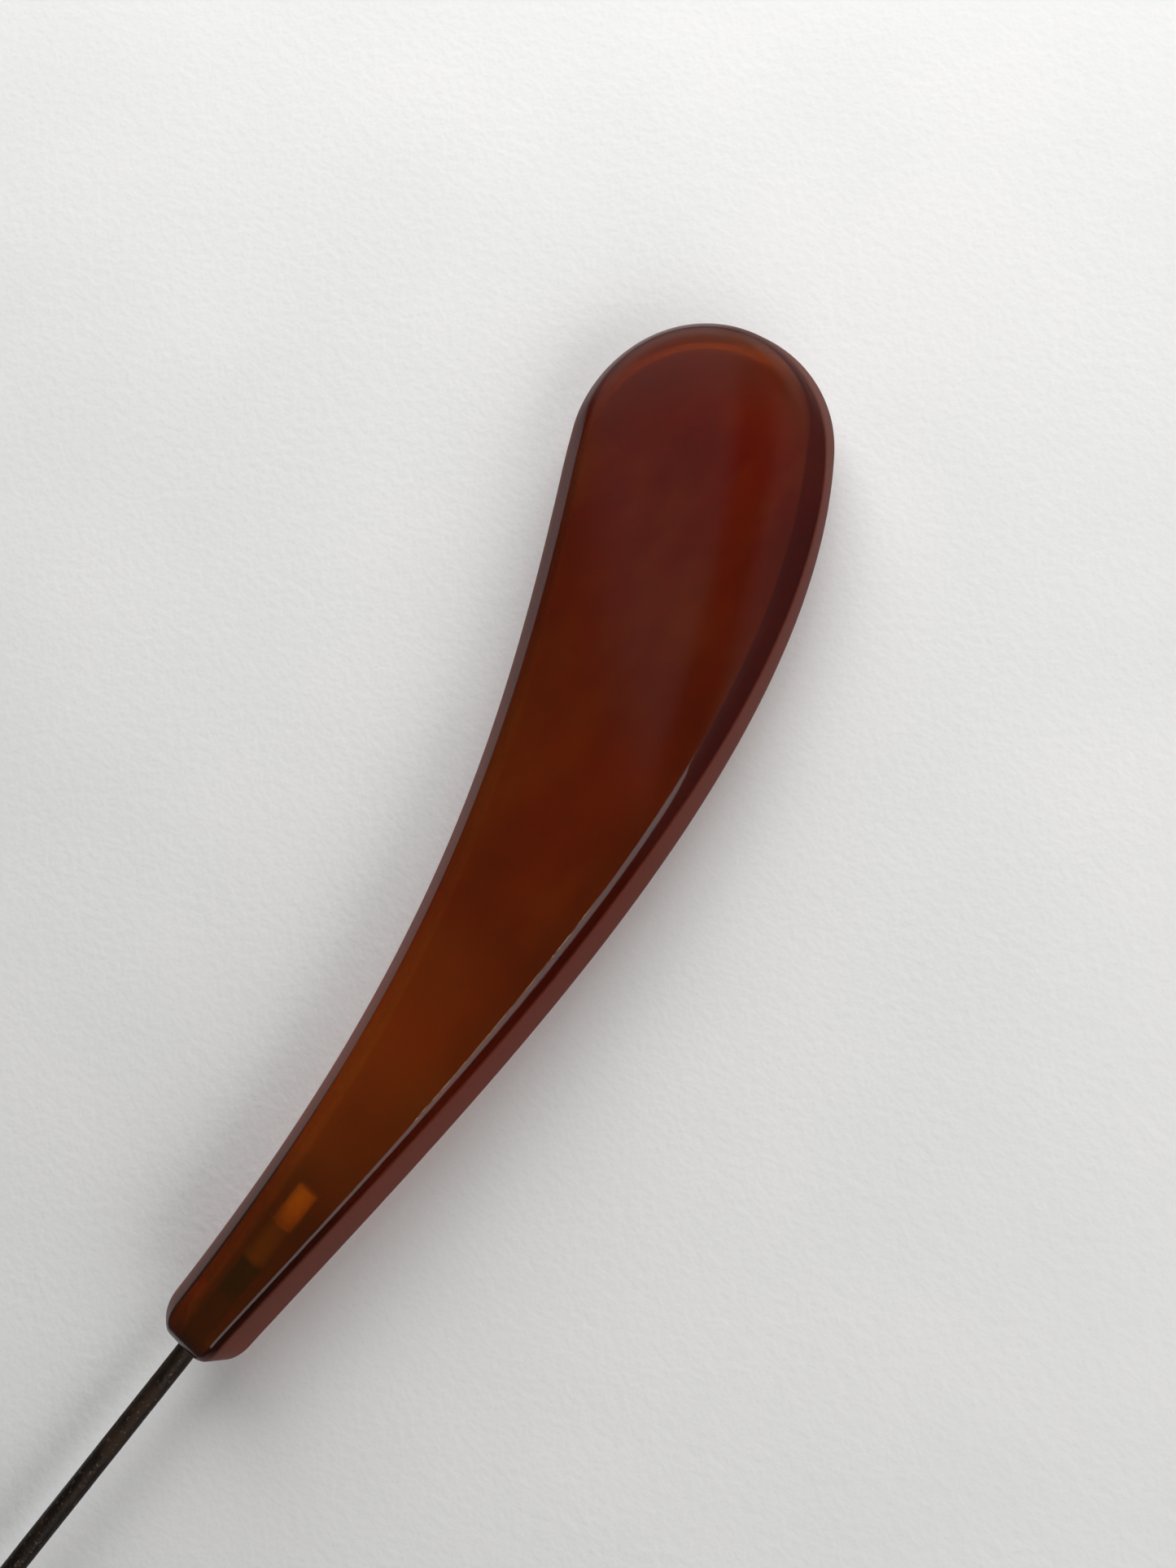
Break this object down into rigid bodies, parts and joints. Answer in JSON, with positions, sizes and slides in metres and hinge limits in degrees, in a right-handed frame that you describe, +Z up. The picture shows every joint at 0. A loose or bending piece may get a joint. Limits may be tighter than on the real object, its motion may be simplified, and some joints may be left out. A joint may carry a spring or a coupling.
{
  "type": "hat pin",
  "caption": "Hat pin with a curved club-shaped head of translucent dark amber plastic, cemented on a slim pointed steel stem.",
  "frame": {"origin": "on the stem's axis, in the middle of the head's end face, where the stem leaves the head", "axes": "+X along the stem to its point, +Z up out of the head's crowned front, +Y to the head's convex side"},
  "size_m": [0.1917, 0.0211, 0.0055],
  "materials": {
    "head_plastic": "gloss",
    "stem_steel": "satin",
    "stained_cement": "matte",
    "clear_cement": "gloss"
  },
  "bodies": {
    "root": {"head": "head_plastic", "pin_stem": "stem_steel", "cement_sleeve": "stained_cement", "cement_plug": "clear_cement"}
  },
  "joints": []
}
